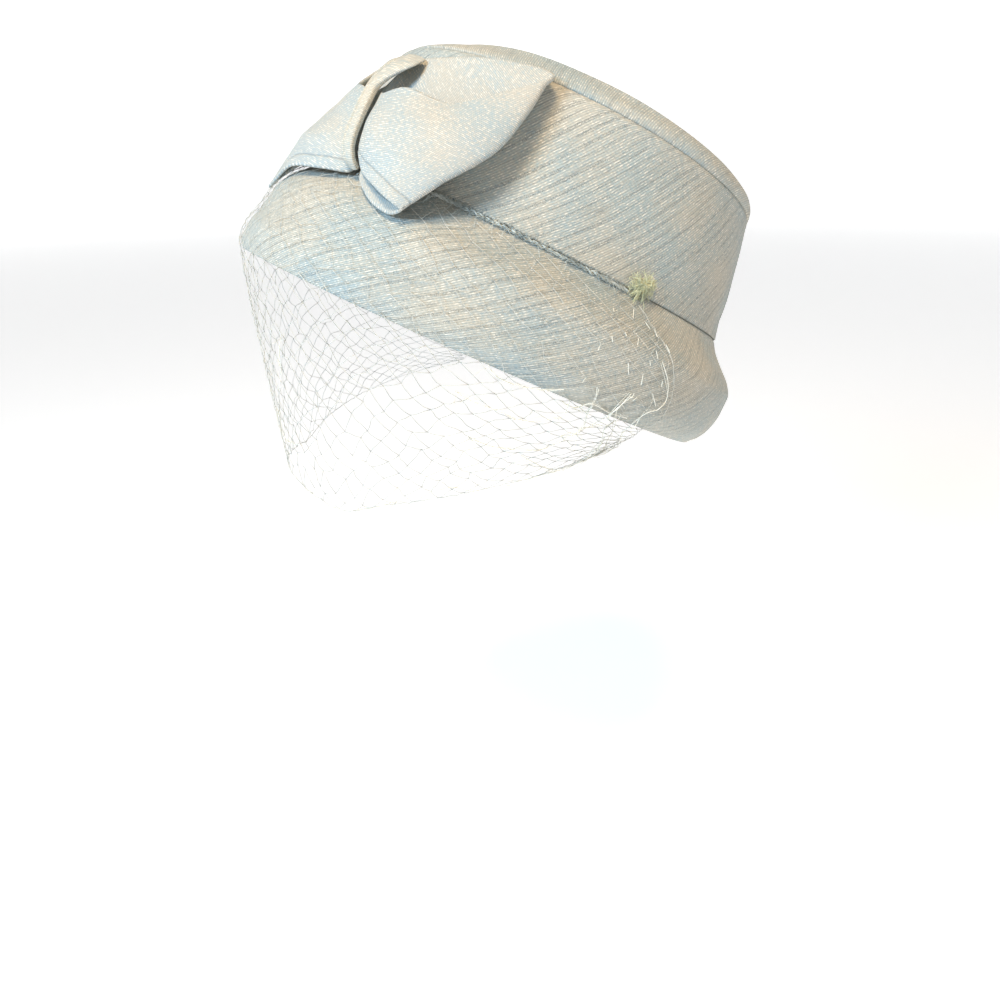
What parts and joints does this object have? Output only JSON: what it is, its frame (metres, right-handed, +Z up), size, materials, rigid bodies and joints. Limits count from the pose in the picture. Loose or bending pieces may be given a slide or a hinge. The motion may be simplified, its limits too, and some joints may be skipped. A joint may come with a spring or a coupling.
{
  "type": "pillbox hat",
  "caption": "Woven pillbox hat with a flat oval top, a turned-down flared brim, a folded flat bow beside the front and a short birdcage veil that hangs over the face.",
  "frame": {"origin": "the middle of the head opening, in the plane of the brim's lower edge, where the hat sits on a head", "axes": "-Y is the front, +X the wearer's left and +Z up, with the hat leaning back by 27 degrees as it is worn"},
  "size_m": [0.2166, 0.2456, 0.1839],
  "materials": {
    "cloth": "soft slubbed twill with a slight sheen, pale duck-egg blue turning cream in warm light",
    "bow_cloth": "soft twill with a slight sheen, pale duck-egg blue",
    "cord": "matt twisted cord, grey blue",
    "net": "fine matt thread, pale cream",
    "thread": "matt loose thread ends, pale yellow green"
  },
  "bodies": {
    "root": {"crown_side": "cloth", "crown_tip": "cloth", "brim": "cloth", "veil_cord": "cord", "bow_loop_left": "bow_cloth", "bow_loop_right": "bow_cloth", "bow_knot": "bow_cloth", "veil_net": "net", "veil_tuft_left": "thread", "veil_tuft_right": "thread"}
  },
  "joints": []
}
